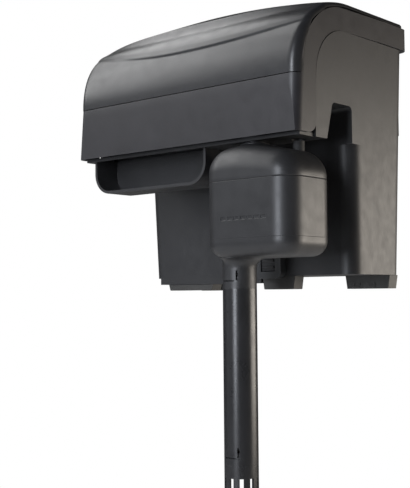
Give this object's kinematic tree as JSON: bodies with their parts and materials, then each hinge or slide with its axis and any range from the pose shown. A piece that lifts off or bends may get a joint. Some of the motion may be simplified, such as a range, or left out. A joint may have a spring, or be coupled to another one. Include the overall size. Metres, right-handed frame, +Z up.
{
  "type": "canister filter",
  "caption": "Hang-on-back aquarium power filter: hooked case with hinged lid, media basket, spout, submersible pump and intake strainer",
  "frame": {"origin": "middle of the rim seat, the face under the hook that rests on the tank's upper edge", "axes": "+Z up, +X along the tank's rim, -Y over the water, +Y outside the tank"},
  "size_m": [0.229, 0.1624, 0.4118],
  "materials": {
    "case_plastic": "fine matte texture",
    "hood_plastic": "fine matte texture",
    "lid_plastic": "fine matte texture",
    "foot_plastic": "matte",
    "guide_plastic": "matte",
    "spacer_plastic": "matte",
    "pump_plastic": "fine matte texture",
    "tube_plastic": "satin",
    "works_plastic": "satin",
    "pin_steel": "ground",
    "seal_rubber": "smooth",
    "core_iron": "laminated",
    "coil_wire": "enamelled wire",
    "magnet": "ground ferrite",
    "impeller_plastic": "satin",
    "shaft_ceramic": "polished ceramic",
    "basket_plastic": "satin",
    "sponge_foam": "open foam",
    "ring_ceramic": "porous ceramic",
    "bag_mesh": "mesh net",
    "pad_fibre": "loose fibre"
  },
  "bodies": {
    "case_body": {"case": "case_plastic", "hood": "hood_plastic", "left_hinge_pin": "pin_steel", "right_hinge_pin": "pin_steel", "spout": "case_plastic", "riser": "works_plastic", "front_left_foot": "foot_plastic", "front_middle_foot": "foot_plastic", "rear_left_foot": "foot_plastic", "rear_right_foot": "foot_plastic", "level_guide": "guide_plastic", "media_basket": "basket_plastic", "basket_handle": "basket_plastic", "coarse_sponge": "sponge_foam", "ceramic_rings": "ring_ceramic", "carbon_bag": "bag_mesh", "fine_pad": "pad_fibre"},
    "lid": {"lid": "lid_plastic"},
    "pump": {"pump_dome": "pump_plastic", "pump_sleeve": "pump_plastic", "pump_base": "pump_plastic", "volute": "works_plastic", "volute_cover": "works_plastic", "outlet_tube": "works_plastic", "outlet_o_ring": "seal_rubber", "rotor_can": "works_plastic", "stator_core": "core_iron", "left_coil": "coil_wire", "right_coil": "coil_wire", "rotor_shaft": "shaft_ceramic", "upper_bush": "seal_rubber", "lower_bush": "seal_rubber", "cable_gland": "seal_rubber"},
    "rotor": {"rotor_magnet": "magnet", "impeller": "impeller_plastic"},
    "intake": {"intake_tube": "tube_plastic", "tube_o_ring": "seal_rubber"},
    "strainer_body": {"strainer": "tube_plastic", "strainer_cap": "tube_plastic"},
    "leveller": {"level_spacer": "spacer_plastic"}
  },
  "joints": [
    {"name": "lid_hinge", "type": "hinge", "parent": "case_body", "child": "lid", "pos_m": [0, 0.0904, 0.0743], "axis": [-1, 0, 0], "range_deg": [0, 95]},
    {"name": "pump_release", "type": "slide", "parent": "case_body", "child": "pump", "axis": [0, 0, -1], "range_m": [0, 0.013]},
    {"name": "rotor_spin", "type": "hinge", "parent": "pump", "child": "rotor", "pos_m": [0.0895, -0.0415, -0.1], "axis": [0, 0, 1], "continuous": true},
    {"name": "intake_twist", "type": "hinge", "parent": "pump", "child": "intake", "pos_m": [0.04715, -0.0405, -0.133], "axis": [0, 0, 1], "range_deg": [0, 35]},
    {"name": "strainer_twist", "type": "hinge", "parent": "intake", "child": "strainer_body", "pos_m": [0.04715, -0.0405, -0.26], "axis": [0, 0, 1], "range_deg": [0, 35]},
    {"name": "leveller_slide", "type": "slide", "parent": "case_body", "child": "leveller", "axis": [0, -0.9993, -0.0384], "range_m": [0, 0.005]}
  ]
}
